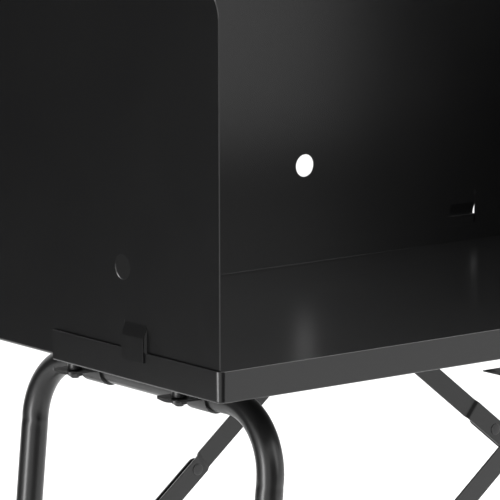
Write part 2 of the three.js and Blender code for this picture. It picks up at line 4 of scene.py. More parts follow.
import bmesh
import bpy
from mathutils import Matrix, Vector
from mathutils.geometry import delaunay_2d_cdt


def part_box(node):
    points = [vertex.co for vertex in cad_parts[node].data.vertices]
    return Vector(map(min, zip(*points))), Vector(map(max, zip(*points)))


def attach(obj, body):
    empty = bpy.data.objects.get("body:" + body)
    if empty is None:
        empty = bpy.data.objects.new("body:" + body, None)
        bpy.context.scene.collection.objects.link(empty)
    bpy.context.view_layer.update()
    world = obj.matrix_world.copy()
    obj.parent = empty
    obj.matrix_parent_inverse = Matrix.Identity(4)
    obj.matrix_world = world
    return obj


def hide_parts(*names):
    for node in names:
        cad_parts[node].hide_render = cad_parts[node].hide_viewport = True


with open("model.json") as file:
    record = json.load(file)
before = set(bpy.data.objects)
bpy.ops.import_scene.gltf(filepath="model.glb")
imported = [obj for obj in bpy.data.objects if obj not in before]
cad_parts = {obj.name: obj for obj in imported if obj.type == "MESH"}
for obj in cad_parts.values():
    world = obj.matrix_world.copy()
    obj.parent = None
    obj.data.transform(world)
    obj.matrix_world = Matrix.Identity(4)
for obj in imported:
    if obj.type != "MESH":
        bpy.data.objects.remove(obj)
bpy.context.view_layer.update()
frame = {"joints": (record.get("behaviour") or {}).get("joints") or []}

# A folding sheet-steel coal forge, in metres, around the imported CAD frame.
# Each CAD node has one piece, which takes its place from that node or from a joint. The clenched
# ends of the four elbow pins are pieces of their own, without a node.

MM = 0.001
SIDES = {"left": -1, "right": 1}
ROWS = ("front", "rear")
JOINTS = {joint["name"]: Vector(joint["pos_m"]) for joint in frame["joints"]}

# ---- Sizes that the pieces share ----------------------------------------------------------------
TRAY_SHEET = 1.5 * MM
TRAY_FOLD = 1.8 * MM            # outside radius of the fold between the tray's floor and its lips
TRAY_CORNER = 6.5 * MM          # front corners, seen from above
SIDE_LIP_LENGTH = 248 * MM
SIDE_NOTCH = 18 * MM
NOTCH_FROM_BACK = 60 * MM

WALL_SHEET = 1.2 * MM
SIDE_WALL_INSET = 2.6 * MM
WALL_CORNER = 30 * MM
WALL_HOLE = 11.2 * MM
WALL_HOLE_HEIGHT = 99 * MM      # above the tray's underside
SIDE_HOLE_FROM_FRONT = 144 * MM
BACK_HOLE_FROM_LEFT = 469 * MM
WALL_FOOT = 30 * MM
WALL_FOLD = 2.4 * MM            # middle radius of the fold at a wall's foot or end
BACK_FLANGE = 15 * MM
HOOK_WIDTH = 32 * MM
HOOK_TOP = 53 * MM
HOOK_BOTTOM = 18.5 * MM
SIDE_HOOK_BEND = 40 * MM        # height at which a side wall's hook has reached its outer line
BACK_HOOK_BEND = 29 * MM
HOOK_BEND_LENGTH = 12 * MM
HOOK_CORNER = 1 * MM
HOOK_SLIT = 0.4 * MM
SIDE_HOOK_FROM_FRONT = 125 * MM
BACK_HOOK_FROM_SIDE = 221 * MM

TUBE_RADIUS = 12.5 * MM
BEND_RADIUS = 63 * MM
BEND_FLATTENING = 0.03          # share of its radius that the tube loses in the plane of a bend
BEND_SPREAD = 0.008             # share of its radius that it gains across that plane
CREASE_ZONE = 16 * MM           # closely ringed stretch of a leg, where its bend ends
CREASE_BELOW_BEND = 2 * MM
CREASE_SPREAD = 3 * MM
CREASE_INSIDE = 0.45 * MM
CREASE_SIDES = 0.5 * MM
FOOT_SOLE = 8 * MM
FOOT_RADIUS = 14 * MM
FOOT_LENGTH = 32 * MM

BAR_WIDTH = 20 * MM
BAR_SHEET = 2 * MM
BAR_EDGE = 0.45 * MM
UPPER_TAIL = 50 * MM            # the upper bar runs on past the elbow pin
JOGGLES = {"left": 10 * MM, "right": 38 * MM}
JOGGLE_TO_LOWER_BAR = 1 * MM
JOGGLE_LENGTH = 6 * MM
LAYER_PITCH = 2.6 * MM
PIN_RADIUS = 3 * MM
HEAD_RADIUS = 5.5 * MM
HEAD_HEIGHT = 1.5 * MM
ELBOW_HEAD_HEIGHT = 0.6 * MM

CLIP_WIDTH = 31 * MM
CLIP_SHEET = 2 * MM
CLIP_FLANGE = 32 * MM
CLEARANCE = 0.3 * MM
STUD_RADIUS = 4 * MM
SLEEVE_RADIUS = 7 * MM
NUT_HEIGHT = 4 * MM
STUD_END = 1.7 * MM             # how far a stud stands out below its nut

BRACKET_SHEET = 1.8 * MM
WEB_LENGTH = 48 * MM
WEB_FOLD = 1.6 * MM

EDGE_ROUND = 0.42 * MM          # worn paint edge on sheet metal
WELD_DISTANCE = 1e-7            # points that are closer than this are one point

# How many steps round shapes are cut into
CORNER_STEPS = 5
FOLD_STEPS = 6
LIP_FOLD_STEPS = 8
TRAY_CORNER_STEPS = 10
WALL_CORNER_STEPS = 24
HOOK_BEND_STEPS = 12
LEG_STEPS = 23
CREASE_STEPS = 8
TUBE_BEND_STEPS = 24
TUBE_SEGMENTS = 56
SADDLE_STEPS = 28
CLIP_WIDTH_STEPS = 8
BAR_END_STEPS = 14
JOGGLE_STEPS = 12
DOME_STEPS = 8

tray_low, tray_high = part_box("hearth_tray")


# ---- Materials ----------------------------------------------------------------------------------
def new_material(name):
    material = bpy.data.materials.new(name)
    material.use_nodes = True
    nodes = material.node_tree.nodes
    links = material.node_tree.links
    return material, nodes, links, nodes["Principled BSDF"]


def noise(nodes, links, coordinates, scale, detail, roughness=0.5):
    node = nodes.new("ShaderNodeTexNoise")
    node.inputs["Scale"].default_value = scale
    node.inputs["Detail"].default_value = detail
    node.inputs["Roughness"].default_value = roughness
    links.new(coordinates, node.inputs["Vector"])
    return node.outputs["Fac"]


def grey(value):
    return (value, value, value)


def ramp(nodes, links, factor, low, high, colour_low, colour_high):
    node = nodes.new("ShaderNodeValToRGB")
    node.color_ramp.elements[0].position = low
    node.color_ramp.elements[1].position = high
    node.color_ramp.elements[0].color = (*colour_low, 1)
    node.color_ramp.elements[1].color = (*colour_high, 1)
    links.new(factor, node.inputs["Fac"])
    return node.outputs["Color"]


def mixed(nodes, links, factor, first, second):
    node = nodes.new("ShaderNodeMix")
    node.data_type = "RGBA"
    links.new(factor, node.inputs[0])
    links.new(first, node.inputs[6])
    links.new(second, node.inputs[7])
    return node.outputs[2]


def math_node(nodes, links, operation, first, second):
    node = nodes.new("ShaderNodeMath")
    node.operation = operation
    node.use_clamp = True
    for socket, value in zip(node.inputs, (first, second)):
        if isinstance(value, (int, float)):
            socket.default_value = value
        else:
            links.new(value, socket)
    return node.outputs[0]


def bumped(nodes, links, height, strength, distance, under=None):
    node = nodes.new("ShaderNodeBump")
    node.inputs["Strength"].default_value = strength
    node.inputs["Distance"].default_value = distance
    links.new(height, node.inputs["Height"])
    if under is not None:
        links.new(under, node.inputs["Normal"])
    return node.outputs["Normal"]


def edge_mask(nodes, links, radius, breakup):
    """1 on outward edges that wear has thinned, broken up by noise."""
    bevel = nodes.new("ShaderNodeBevel")
    bevel.samples = 4
    bevel.inputs["Radius"].default_value = radius
    geometry = nodes.new("ShaderNodeNewGeometry")
    dot = nodes.new("ShaderNodeVectorMath")
    dot.operation = "DOT_PRODUCT"
    links.new(bevel.outputs["Normal"], dot.inputs[0])
    links.new(geometry.outputs["Normal"], dot.inputs[1])
    turned = math_node(nodes, links, "SUBTRACT", 1.0, dot.outputs["Value"])
    strong = math_node(nodes, links, "MULTIPLY", turned, 6.0)
    return math_node(nodes, links, "MULTIPLY", strong, breakup)


def painted_steel(name, base, dusty, worn, rough, peel_scale, peel, wave):
    """Black enamel: uneven gloss, orange peel, faint sheet waviness, dust, and lighter worn edges."""
    material, nodes, links, shader = new_material(name)
    place = nodes.new("ShaderNodeTexCoord").outputs["Object"]
    cloudy = noise(nodes, links, place, scale=9, detail=4)
    specks = noise(nodes, links, place, scale=420, detail=3, roughness=0.7)
    scuffs = noise(nodes, links, place, scale=60, detail=5, roughness=0.65)
    colour = ramp(nodes, links, cloudy, 0.3, 0.75, base, dusty)
    speck_mask = ramp(nodes, links, specks, 0.66, 0.74, grey(0), grey(0.35))
    dust = nodes.new("ShaderNodeRGB")
    dust.outputs[0].default_value = (*[1.6 * channel for channel in dusty], 1)
    colour = mixed(nodes, links, speck_mask, colour, dust.outputs[0])
    breakup = ramp(nodes, links, scuffs, 0.42, 0.62, grey(0.15), grey(1))
    bare = nodes.new("ShaderNodeRGB")
    bare.outputs[0].default_value = (*worn, 1)
    colour = mixed(nodes, links, edge_mask(nodes, links, 0.8 * MM, breakup), colour, bare.outputs[0])
    links.new(colour, shader.inputs["Base Color"])
    gloss = ramp(nodes, links, scuffs, 0.3, 0.7, grey(rough * 0.97), grey(rough * 1.04))
    links.new(gloss, shader.inputs["Roughness"])
    shader.inputs["Specular IOR Level"].default_value = 0.5
    waves = noise(nodes, links, place, scale=5, detail=0)
    swell = bumped(nodes, links, waves, wave, distance=1.0 * MM)
    pores = noise(nodes, links, place, peel_scale, detail=2)
    orange = bumped(nodes, links, pores, peel, distance=0.02 * MM, under=swell)
    links.new(orange, shader.inputs["Normal"])
    return material


def rubber():
    material, nodes, links, shader = new_material("black_rubber")
    place = nodes.new("ShaderNodeTexCoord").outputs["Object"]
    grime = noise(nodes, links, place, scale=70, detail=5, roughness=0.6)
    colour = ramp(nodes, links, grime, 0.35, 0.75, grey(0.011), (0.045, 0.042, 0.038))
    links.new(colour, shader.inputs["Base Color"])
    links.new(ramp(nodes, links, grime, 0.3, 0.7, grey(0.62), grey(0.85)), shader.inputs["Roughness"])
    grain = noise(nodes, links, place, scale=900, detail=3)
    links.new(bumped(nodes, links, grain, strength=0.4, distance=0.1 * MM), shader.inputs["Normal"])
    return material


def pale_floor():
    material, nodes, links, shader = new_material("pale_floor")
    place = nodes.new("ShaderNodeTexCoord").outputs["Object"]
    patches = noise(nodes, links, place, scale=0.6, detail=2)
    links.new(ramp(nodes, links, patches, 0.3, 0.7, grey(0.86), grey(0.88)), shader.inputs["Base Color"])
    shader.inputs["Roughness"].default_value = 0.9
    return material


SHEET_PAINT = painted_steel(
    "black_sheet", base=(0.0034, 0.0034, 0.0036), dusty=(0.0046, 0.0046, 0.0047), worn=grey(0.018),
    rough=0.26, peel_scale=1100, peel=0.03, wave=0.10)
TUBE_PAINT = painted_steel(
    "black_tube", base=(0.006, 0.006, 0.0062), dusty=grey(0.009), worn=grey(0.05),
    rough=0.31, peel_scale=900, peel=0.05, wave=0.10)
BAR_PAINT = painted_steel(
    "black_bar", base=(0.009, 0.009, 0.0093), dusty=grey(0.013), worn=grey(0.08),
    rough=0.36, peel_scale=1000, peel=0.07, wave=0.12)
FASTENER_PAINT = painted_steel(
    "fastener", base=(0.012, 0.012, 0.0125), dusty=grey(0.020), worn=grey(0.12),
    rough=0.36, peel_scale=1400, peel=0.06, wave=0.0)
RUBBER = rubber()


# ---- Building pieces ----------------------------------------------------------------------------
def add_piece(name, bm, body, node, material, edge=0.0):
    """Turns a bmesh into a shown piece that rides on a CAD body, in the place of a node if given."""
    bmesh.ops.remove_doubles(bm, verts=bm.verts, dist=WELD_DISTANCE)
    bmesh.ops.recalc_face_normals(bm, faces=bm.faces)
    mesh = bpy.data.meshes.new(name)
    bm.to_mesh(mesh)
    bm.free()
    mesh.materials.append(material)
    mesh.shade_smooth()
    piece = bpy.data.objects.new(name, mesh)
    bpy.context.scene.collection.objects.link(piece)
    if edge:
        bevel = piece.modifiers.new("rounded_edges", "BEVEL")
        bevel.width = edge
        bevel.segments = 2
        bevel.limit_method = "ANGLE"
        bevel.angle_limit = math.radians(50)
        bevel.use_clamp_overlap = True
    weighted = piece.modifiers.new("flat_faces", "WEIGHTED_NORMAL")
    weighted.keep_sharp = True
    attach(piece, body)
    if node:
        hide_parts(node)
    return piece


def arc_points(centre, radius, start, end, steps):
    """Points on an arc, from the start angle to the end angle in degrees."""
    points = []
    for i in range(steps + 1):
        angle = math.radians(start + (end - start) * i / steps)
        points.append((centre[0] + radius * math.cos(angle), centre[1] + radius * math.sin(angle)))
    return points


def circle_points(centre, radius, steps=64):
    return arc_points(centre, radius, 0, 360, steps)[:-1]


def inside(point, loop):
    """Whether a point is inside a closed loop, by crossings."""
    x, y = point
    crossed = False
    for (x0, y0), (x1, y1) in zip(loop, loop[1:] + loop[:1]):
        if (y0 > y) != (y1 > y) and x < x0 + (x1 - x0) * (y - y0) / (y1 - y0):
            crossed = not crossed
    return crossed


def sheet_metal(outline, holes, rows, thickness, place):
    """A sheet cut to a flat outline with holes, then bent: place(a, b) gives a flat point's middle
    and its normal. Rows are lines across the flat sheet along which it can bend."""
    points = []
    edges = []
    for loop in [outline, *holes]:
        first = len(points)
        points += loop
        edges += [(first + i, first + (i + 1) % len(loop)) for i in range(len(loop))]
    for start, end in rows:
        edges.append((len(points), len(points) + 1))
        points += [start, end]
    flat, _, faces, *_ = delaunay_2d_cdt([Vector(p) for p in points], edges, [], 0, WELD_DISTANCE)
    kept = []
    for face in faces:
        middle = sum((flat[i] for i in face), Vector((0, 0))) / len(face)
        if inside(middle, outline) and not any(inside(middle, hole) for hole in holes):
            kept.append(face)
    bm = bmesh.new()
    layers = ({}, {})
    for index in sorted({i for face in kept for i in face}):
        middle, normal = place(*flat[index])
        for layer, side in zip(layers, (0.5, -0.5)):
            layer[index] = bm.verts.new(middle + normal * (thickness * side))
    uses = {}
    for face in kept:
        bm.faces.new([layers[0][i] for i in face])
        bm.faces.new([layers[1][i] for i in reversed(face)])
        for a, b in zip(face, [*face[1:], face[0]]):
            uses.setdefault(frozenset((a, b)), []).append((a, b))
    for found in uses.values():
        if len(found) == 1:
            a, b = found[0]
            bm.faces.new((layers[0][b], layers[0][a], layers[1][a], layers[1][b]))
    return bm


def filled(bm, loop):
    """Fills a flat loop of vertices, whatever its shape, with triangles."""
    spreads = [max(v.co[i] for v in loop) - min(v.co[i] for v in loop) for i in range(3)]
    across = [i for i in range(3) if i != spreads.index(min(spreads))]
    outline = [(v.co[across[0]], v.co[across[1]]) for v in loop]
    edges = [(i, (i + 1) % len(loop)) for i in range(len(loop))]
    corners = [Vector(p) for p in outline]
    flat, _, faces, sources, *_ = delaunay_2d_cdt(corners, edges, [], 0, WELD_DISTANCE)
    for face in faces:
        middle = sum((flat[i] for i in face), Vector((0, 0))) / len(face)
        if inside(middle, outline):
            bm.faces.new([loop[sources[i][0]] for i in face])


def smooth_step(value):
    value = min(max(value, 0.0), 1.0)
    return value * value * (3 - 2 * value)


def folded(distance, radius):
    """A sheet that runs straight until 0 and then folds by a right angle: returns how far it has
    gone along, how far it has turned off, and its angle."""
    turn = min(max(distance / radius, 0.0), math.pi / 2)
    after = max(distance - radius * math.pi / 2, 0.0)
    along = min(distance, 0.0) + radius * math.sin(turn)
    off = radius * (1 - math.cos(turn)) + after
    return along, off, turn


def fold_rows(start, radius):
    """Flat distances at which a sheet that folds from start needs a row."""
    return [start + radius * math.pi / 2 * i / FOLD_STEPS for i in range(FOLD_STEPS + 1)]


def swept(rings, closed_ends=True):
    """A skin over rings of equal length, with its ends filled."""
    bm = bmesh.new()
    loops = [[bm.verts.new(point) for point in ring] for ring in rings]
    count = len(rings[0])
    for loop, following in zip(loops, loops[1:]):
        for i in range(count):
            j = (i + 1) % count
            bm.faces.new((loop[i], loop[j], following[j], following[i]))
    if closed_ends:
        bm.faces.new(loops[0])
        bm.faces.new(loops[-1])
    return bm


def lathed(profile, origin, axis, segments=40, sides=None):
    """Turns a profile of (distance along the axis, radius) round an axis. The first and the last
    point lie on the axis. With sides, the profile's radius becomes that of a regular prism."""
    along = Vector(axis).normalized()
    across = along.orthogonal().normalized()
    other = along.cross(across)
    rings = []
    for distance, radius in profile[1:-1]:
        ring = []
        for i in range(segments):
            angle = 2 * math.pi * i / segments
            reach = radius
            if sides and sides[0] <= distance <= sides[1]:
                part = math.pi / 3
                reach = radius * math.cos(part / 2) / math.cos((angle + part / 2) % part - part / 2)
            spoke = across * math.cos(angle) + other * math.sin(angle)
            ring.append(origin + along * distance + spoke * reach)
        rings.append(ring)
    bm = swept(rings, closed_ends=False)
    bm.verts.ensure_lookup_table()
    for ring_start, (distance, _) in ((0, profile[0]), (len(bm.verts) - segments, profile[-1])):
        tip = bm.verts.new(origin + along * distance)
        bm.verts.ensure_lookup_table()
        for i in range(segments):
            bm.faces.new((tip, bm.verts[ring_start + i], bm.verts[ring_start + (i + 1) % segments]))
    return bm


# ---- Hearth tray --------------------------------------------------------------------------------
LIP_FOOT = 5 * MM               # the strip of floor that is made along with a lip
LIP_LEAN = 0.5 * MM             # how much further in a lip is at its foot than at its top
LIP_RIM = 0.45 * MM


def front_lip_path(inset):
    """The lip's line from the rear end of the left lip, round the front, to that of the right."""
    left, right = tray_low.x, tray_high.x
    front = tray_low.y
    lip_end = front + SIDE_LIP_LENGTH
    radius = TRAY_CORNER - inset
    path = [(left + inset, lip_end)]
    path += arc_points((left + TRAY_CORNER, front + TRAY_CORNER), radius, 180, 270, TRAY_CORNER_STEPS)
    path += arc_points((right - TRAY_CORNER, front + TRAY_CORNER), radius, 270, 360, TRAY_CORNER_STEPS)
    path.append((right - inset, lip_end))
    return path


def back_lip_path(inset):
    return [(tray_high.x, tray_high.y - inset), (tray_low.x, tray_high.y - inset)]


def lip_profile():
    """(inset from the outside, height) round a lip's section, from the top of the floor."""
    outer = TRAY_FOLD
    inner = TRAY_FOLD - TRAY_SHEET
    top = tray_high.z
    floor = tray_low.z
    fold = (TRAY_FOLD + LIP_LEAN, floor + TRAY_FOLD)
    section = [(LIP_FOOT, floor + TRAY_SHEET)]
    section += arc_points(fold, inner, 270, 180, FOLD_STEPS)
    section += arc_points((TRAY_SHEET - LIP_RIM, top - LIP_RIM), LIP_RIM, 0, 90, CORNER_STEPS)
    section += arc_points((LIP_RIM, top - LIP_RIM), LIP_RIM, 90, 180, CORNER_STEPS)
    section += arc_points(fold, outer, 180, 270, LIP_FOLD_STEPS)
    section.append((LIP_FOOT, floor))
    return section


def lip_strip(bm, path_at):
    """Builds a lip along a path and returns its edges on the floor's top and underside."""
    columns = []
    for inset, height in lip_profile():
        columns.append([bm.verts.new((x, y, height)) for x, y in path_at(inset)])
    for column, following in zip(columns, columns[1:]):
        for i in range(len(column) - 1):
            bm.faces.new((column[i], column[i + 1], following[i + 1], following[i]))
    for end in (0, -1):
        filled(bm, [column[end] for column in columns])
    return columns[0], columns[-1]


def hearth_tray():
    bm = bmesh.new()
    right = tray_high.x
    lip_end = tray_low.y + SIDE_LIP_LENGTH
    notch_end = tray_high.y - NOTCH_FROM_BACK
    front_rows = lip_strip(bm, front_lip_path)
    back_rows = lip_strip(bm, back_lip_path)
    right_notch = [(right - SIDE_NOTCH, lip_end), (right - SIDE_NOTCH, notch_end), (right, notch_end)]
    left_notch = [(-x, y) for x, y in reversed(right_notch)]
    layers = []
    for front_row, back_row, height in zip(front_rows, back_rows, (tray_low.z + TRAY_SHEET, tray_low.z)):
        right_side = [bm.verts.new((x, y, height)) for x, y in right_notch]
        left_side = [bm.verts.new((x, y, height)) for x, y in left_notch]
        loop = [*front_row, *right_side, *back_row, *left_side]
        filled(bm, loop)
        layers.append((loop, len(front_row)))
    (top, first), (bottom, _) = layers
    back_edge = first + len(right_notch)
    for i in range(first - 1, len(top)):
        if i != back_edge:
            j = (i + 1) % len(top)
            bm.faces.new((top[i], top[j], bottom[j], bottom[i]))
    add_piece("hearth_tray", bm, "hearth", "hearth_tray", SHEET_PAINT)


# ---- Walls --------------------------------------------------------------------------------------
def hook_slit(middle):
    """The U-shaped cut that frees a hook from its wall, in the wall's flat pattern."""
    half = HOOK_WIDTH / 2
    wide = half + HOOK_SLIT
    base = tray_low.z
    low = base + HOOK_BOTTOM
    top = base + HOOK_TOP
    corner = HOOK_CORNER
    slit = [(middle - wide, low - HOOK_SLIT), (middle + wide, low - HOOK_SLIT), (middle + wide, top)]
    slit.append((middle + half, top))
    slit += arc_points((middle + half - corner, low + corner), corner, 0, -90, CORNER_STEPS)
    slit += arc_points((middle - half + corner, low + corner), corner, -90, -180, CORNER_STEPS)
    slit += [(middle - half, top), (middle - wide, top)]
    return slit


def hook_rows(middle, bend):
    """Rows across a hook, where it slopes out over the lip."""
    half = HOOK_WIDTH / 2
    rows = []
    for i in range(HOOK_BEND_STEPS + 1):
        height = tray_low.z + bend + HOOK_BEND_LENGTH * i / HOOK_BEND_STEPS
        rows.append(((middle - half, height), (middle + half, height)))
    return rows


def hook_reach(a, b, middle, bend, inset):
    """How far a flat point of the wall stands out of it, because it is on a hook."""
    on_hook = abs(a - middle) <= HOOK_WIDTH / 2 + HOOK_SLIT / 4 and b < tray_low.z + HOOK_TOP
    if not on_hook:
        return 0.0
    height = b - tray_low.z
    out = WALL_SHEET + inset + CLEARANCE
    return out * smooth_step(1 - (height - bend) / HOOK_BEND_LENGTH)


def side_wall(name, side):
    low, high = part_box(f"{name}_wall")
    front = low.y
    back = high.y
    sheet_x = tray_high.x - SIDE_WALL_INSET - WALL_SHEET / 2
    hook_y = tray_low.y + SIDE_HOOK_FROM_FRONT
    hole = (tray_low.y + SIDE_HOLE_FROM_FRONT, tray_low.z + WALL_HOLE_HEIGHT)
    fold_from = low.z + WALL_FOLD + WALL_SHEET / 2
    fold_length = WALL_FOLD * math.pi / 2
    foot_low = fold_from - fold_length - (WALL_FOOT - WALL_FOLD - WALL_SHEET / 2)
    foot_back = back - BACK_FLANGE - 2 * CLEARANCE

    def place(a, b):
        along, off, turn = folded(fold_from - b, WALL_FOLD)
        out = hook_reach(a, b, hook_y, SIDE_HOOK_BEND, SIDE_WALL_INSET) if b > fold_from else 0.0
        middle = Vector((side * (sheet_x + out - off), a, fold_from - along))
        return middle, Vector((side * math.cos(turn), 0, -math.sin(turn)))

    corner = (front + WALL_CORNER, high.z - WALL_CORNER)
    outline = [(front, foot_low), (foot_back, foot_low), (foot_back, fold_from), (back, fold_from)]
    outline += [(back, high.z)]
    outline += arc_points(corner, WALL_CORNER, 90, 180, WALL_CORNER_STEPS)
    rows = [((front, fold_from - step), (foot_back, fold_from - step)) for step in fold_rows(0, WALL_FOLD)]
    rows += hook_rows(hook_y, SIDE_HOOK_BEND)
    holes = [circle_points(hole, WALL_HOLE), hook_slit(hook_y)]
    bm = sheet_metal(outline, holes, rows, WALL_SHEET, place)
    add_piece(f"{name}_wall", bm, "hearth", f"{name}_wall", SHEET_PAINT, EDGE_ROUND)


def back_wall():
    low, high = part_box("back_wall")
    sheet_y = tray_high.y - TRAY_SHEET - CLEARANCE - WALL_SHEET / 2
    fold_at = high.x - WALL_FOLD - WALL_SHEET / 2
    flat_end = fold_at + WALL_FOLD * math.pi / 2 + BACK_FLANGE - WALL_FOLD
    hooks = [side * (tray_high.x - BACK_HOOK_FROM_SIDE) for side in (-1, 1)]
    hole = (tray_low.x + BACK_HOLE_FROM_LEFT, tray_low.z + WALL_HOLE_HEIGHT)

    def place(a, b):
        side = math.copysign(1, a)
        along, off, turn = folded(abs(a) - fold_at, WALL_FOLD)
        out = sum(hook_reach(a, b, hook, BACK_HOOK_BEND, TRAY_SHEET + CLEARANCE) for hook in hooks)
        middle = Vector((side * (fold_at + along), sheet_y + out - off, b))
        return middle, Vector((side * math.sin(turn), math.cos(turn), 0))

    outline = [(-flat_end, low.z), (flat_end, low.z), (flat_end, high.z), (-flat_end, high.z)]
    rows = []
    for side in (-1, 1):
        rows += [((side * step, low.z), (side * step, high.z)) for step in fold_rows(fold_at, WALL_FOLD)]
    for hook in hooks:
        rows += hook_rows(hook, BACK_HOOK_BEND)
    holes = [circle_points(hole, WALL_HOLE), *[hook_slit(hook) for hook in hooks]]
    bm = sheet_metal(outline, holes, rows, WALL_SHEET, place)
    add_piece("back_wall", bm, "hearth", "back_wall", SHEET_PAINT, EDGE_ROUND)


# ---- Leg frames ---------------------------------------------------------------------------------
def leg_y(name, row):
    low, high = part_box(f"{name}_{row}_foot")
    return (low.y + high.y) / 2


def leg_direction(name):
    """Down a leg, from the fold axis."""
    return (JOINTS[f"{name}_lower_swing"] - JOINTS[f"{name}_fold"]).normalized()


def tube_rings(name):
    """Rings of a leg tube: round on the straights, slightly oval and creased where it is bent."""
    pivot = JOINTS[f"{name}_fold"]
    down = leg_direction(name)
    half = leg_y(name, "rear")
    bend_y = half - BEND_RADIUS
    length = (pivot.z - FOOT_SOLE) / -down.z
    stations = []
    for step in range(LEG_STEPS + 1):
        distance = length + (BEND_RADIUS + CREASE_ZONE - length) * step / LEG_STEPS
        stations.append((-half, distance, 0.0, 0.0))
    for step in range(1, CREASE_STEPS + 1):
        stations.append((-half, BEND_RADIUS + CREASE_ZONE * (1 - step / CREASE_STEPS), 0.0, 0.0))
    for step in range(1, TUBE_BEND_STEPS + 1):
        turn = math.pi / 2 * step / TUBE_BEND_STEPS
        y = -bend_y - BEND_RADIUS * math.cos(turn)
        stations.append((y, BEND_RADIUS * (1 - math.sin(turn)), turn, math.sin(2 * turn)))
    stations.append((0.0, 0.0, math.pi / 2, 0.0))
    stations += [(-y, depth, math.pi - turn, bent) for y, depth, turn, bent in reversed(stations[:-1])]
    outward = Vector((0, 1, 0)).cross(down).normalized()
    rings = []
    for y, depth, turn, bent in stations:
        heading = -down * math.cos(turn) + Vector((0, 1, 0)) * math.sin(turn)
        inner = outward.cross(heading).normalized()
        if inner.dot(Vector((0, -y, 0)) + down * BEND_RADIUS) < 0:
            inner = -inner
        centre = pivot + Vector((0, y, 0)) + down * depth
        from_crease = (depth - BEND_RADIUS - CREASE_BELOW_BEND) / CREASE_SPREAD
        on_leg = abs(y) > half - WELD_DISTANCE
        crease = math.exp(-from_crease ** 2) if on_leg else 0.0
        ring = []
        for i in range(TUBE_SEGMENTS):
            angle = 2 * math.pi * i / TUBE_SEGMENTS
            in_plane = TUBE_RADIUS * (1 - BEND_FLATTENING * bent)
            across = TUBE_RADIUS * (1 + BEND_SPREAD * bent)
            swell = CREASE_INSIDE * math.cos(angle) ** 3
            dent = crease * (swell - CREASE_SIDES * abs(math.sin(angle)) ** 4)
            ring.append(centre + inner * (in_plane + dent) * math.cos(angle)
                        + outward * (across + dent) * math.sin(angle))
        rings.append(ring)
    return rings


def leg_frame(name):
    bm = swept(tube_rings(name))
    add_piece(f"{name}_leg_frame", bm, f"{name}_legs", f"{name}_leg_frame", TUBE_PAINT)


def foot(name, row):
    """A rubber cap with three grooves, a rounded mouth, and a sole that is trimmed to the ground."""
    down = leg_direction(name)
    pivot = JOINTS[f"{name}_fold"]
    length = (pivot.z - FOOT_SOLE) / -down.z
    end = pivot + Vector((0, leg_y(name, row), 0)) + down * length
    mouth = -FOOT_LENGTH
    play = 0.1 * MM
    inner = TUBE_RADIUS + play
    rounding = 1.2 * MM
    socket = mouth + 4 * MM
    groove_depth = 0.6 * MM
    groove_half = 1 * MM
    first_groove = 9 * MM
    groove_pitch = 4 * MM
    top = arc_points((mouth + rounding, FOOT_RADIUS - rounding), rounding, 180, 90, CORNER_STEPS)
    profile = [(socket, 0), (socket, inner), (mouth + rounding / 2, inner + play), *top]
    for groove in range(3):
        place = mouth + first_groove + groove * groove_pitch
        profile += [(place - groove_half, FOOT_RADIUS), (place - groove_half / 2, FOOT_RADIUS - groove_depth)]
        profile += [(place + groove_half / 2, FOOT_RADIUS - groove_depth), (place + groove_half, FOOT_RADIUS)]
    sole = 2 * FOOT_SOLE
    profile += [(sole, FOOT_RADIUS), (sole, 0)]
    bm = lathed(profile, end, down, TUBE_SEGMENTS)
    cut = bmesh.ops.bisect_plane(bm, geom=[*bm.verts, *bm.edges, *bm.faces], plane_co=(0, 0, 0),
                                 plane_no=(0, 0, -1), clear_outer=True)
    rim = [item for item in cut["geom_cut"] if isinstance(item, bmesh.types.BMEdge)]
    bmesh.ops.contextual_create(bm, geom=rim)
    add_piece(f"{name}_{row}_foot", bm, f"{name}_legs", f"{name}_{row}_foot", RUBBER, 0.5 * MM)


# ---- Saddle clips and studs ---------------------------------------------------------------------
def clip_path(flange_height):
    """The middle of a clip's sheet, across the tube, from one flange end to the other."""
    radius = TUBE_RADIUS + CLEARANCE + CLIP_SHEET / 2
    bend = 2.2 * MM
    end = TUBE_RADIUS + CLEARANCE + CLIP_SHEET + CLIP_FLANGE
    left = [(-end, flange_height)]
    left += arc_points((-radius - bend, flange_height - bend), bend, 90, 0, FOLD_STEPS)
    return left + arc_points((0, 0), radius, 180, 360, SADDLE_STEPS) + [(-x, z) for x, z in reversed(left)]


def along_path(path):
    """Distances of a path's points, and a function from a distance to a point and its normal."""
    distances = [0.0]
    for (x0, z0), (x1, z1) in zip(path, path[1:]):
        distances.append(distances[-1] + math.hypot(x1 - x0, z1 - z0))

    def at(distance):
        i = 0
        while i < len(path) - 2 and distance > distances[i + 1]:
            i += 1
        span = distances[i + 1] - distances[i]
        part = (distance - distances[i]) / span
        (x0, z0), (x1, z1) = path[i], path[i + 1]
        before = path[max(i - 1, 0)] if part < 0.5 else path[i]
        after = path[i + 1] if part < 0.5 else path[min(i + 2, len(path) - 1)]
        heading = Vector((after[0] - before[0], after[1] - before[1])).normalized()
        return (x0 + (x1 - x0) * part, z0 + (z1 - z0) * part), (-heading.y, heading.x)

    return distances, at


